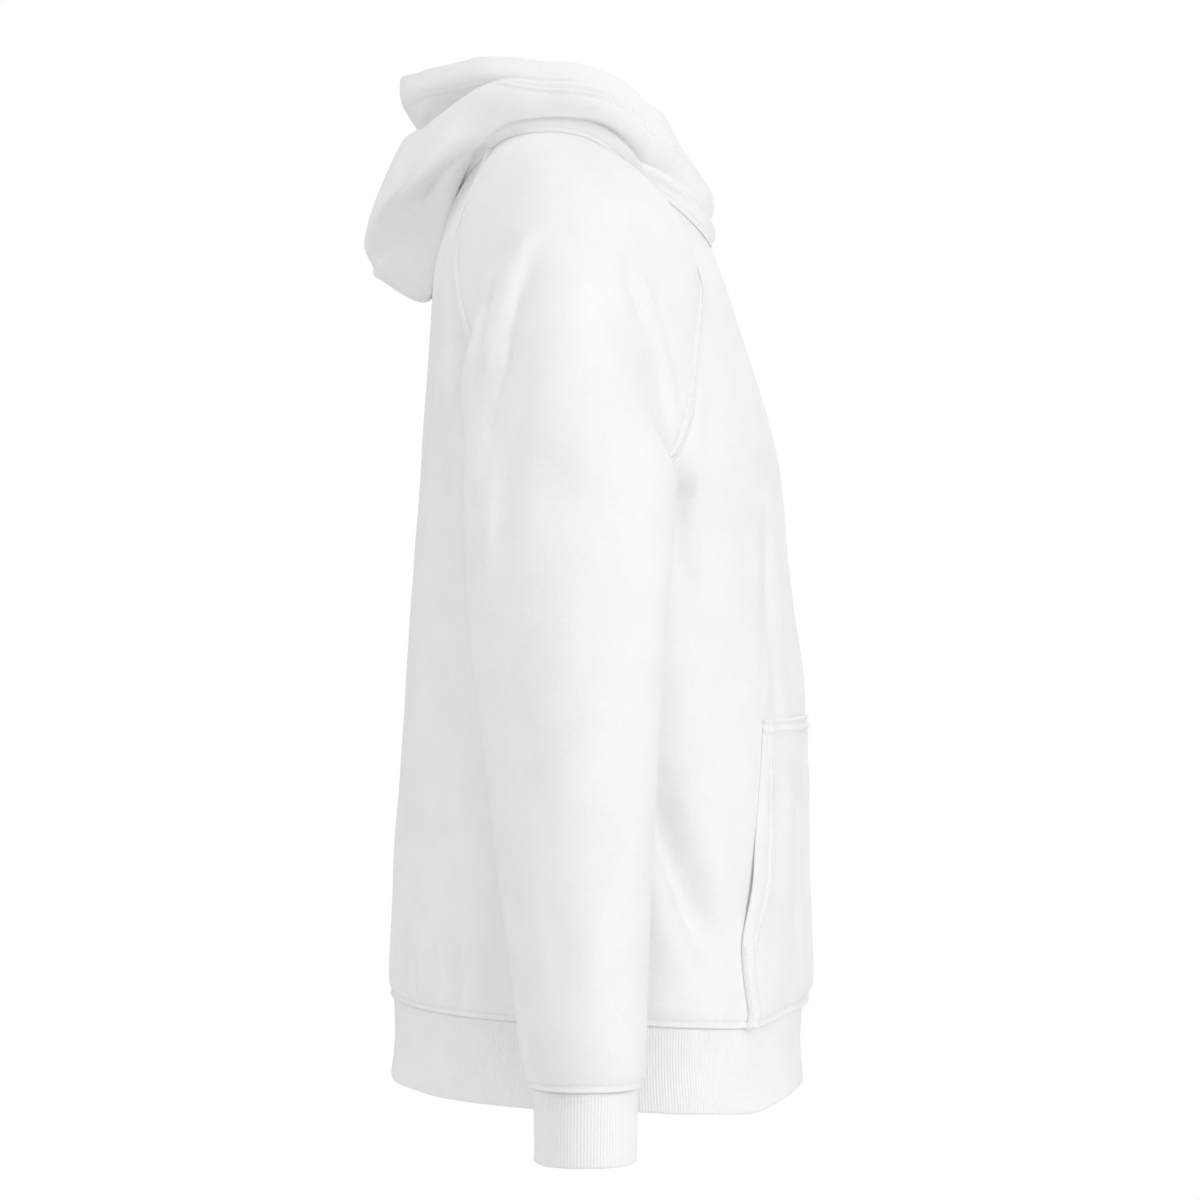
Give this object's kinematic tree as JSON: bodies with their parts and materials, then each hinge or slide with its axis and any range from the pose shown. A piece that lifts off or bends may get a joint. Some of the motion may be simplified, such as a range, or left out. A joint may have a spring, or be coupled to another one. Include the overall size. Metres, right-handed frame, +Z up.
{
  "type": "pullover hoodie",
  "caption": "Worn-shape pullover hoodie with raglan sleeves, folded-down crossover hood, front pocket and ribbed cuffs and hem, open and hollow for a wearer.",
  "frame": {"origin": "Middle of the neck at the height of the shoulder points, where the wearer's shoulders carry the garment.", "axes": "+Z is up along the wearer's spine, -Y is the front, and -X is the wearer's right."},
  "size_m": [0.6692, 0.3371, 0.7787],
  "materials": {
    "front_panel": "brushed fleece",
    "back_panel": "brushed fleece",
    "sleeve_right": "brushed fleece",
    "sleeve_left": "brushed fleece",
    "cuff_right": "rib knit",
    "cuff_left": "rib knit",
    "hem_band": "rib knit",
    "pocket": "brushed fleece",
    "hood_right": "brushed fleece",
    "hood_left": "brushed fleece"
  },
  "bodies": {
    "root": {"front_panel": "front_panel", "back_panel": "back_panel", "sleeve_right": "sleeve_right", "sleeve_left": "sleeve_left", "cuff_right": "cuff_right", "cuff_left": "cuff_left", "hem_band": "hem_band", "pocket": "pocket", "hood_right": "hood_right", "hood_left": "hood_left"}
  },
  "joints": []
}
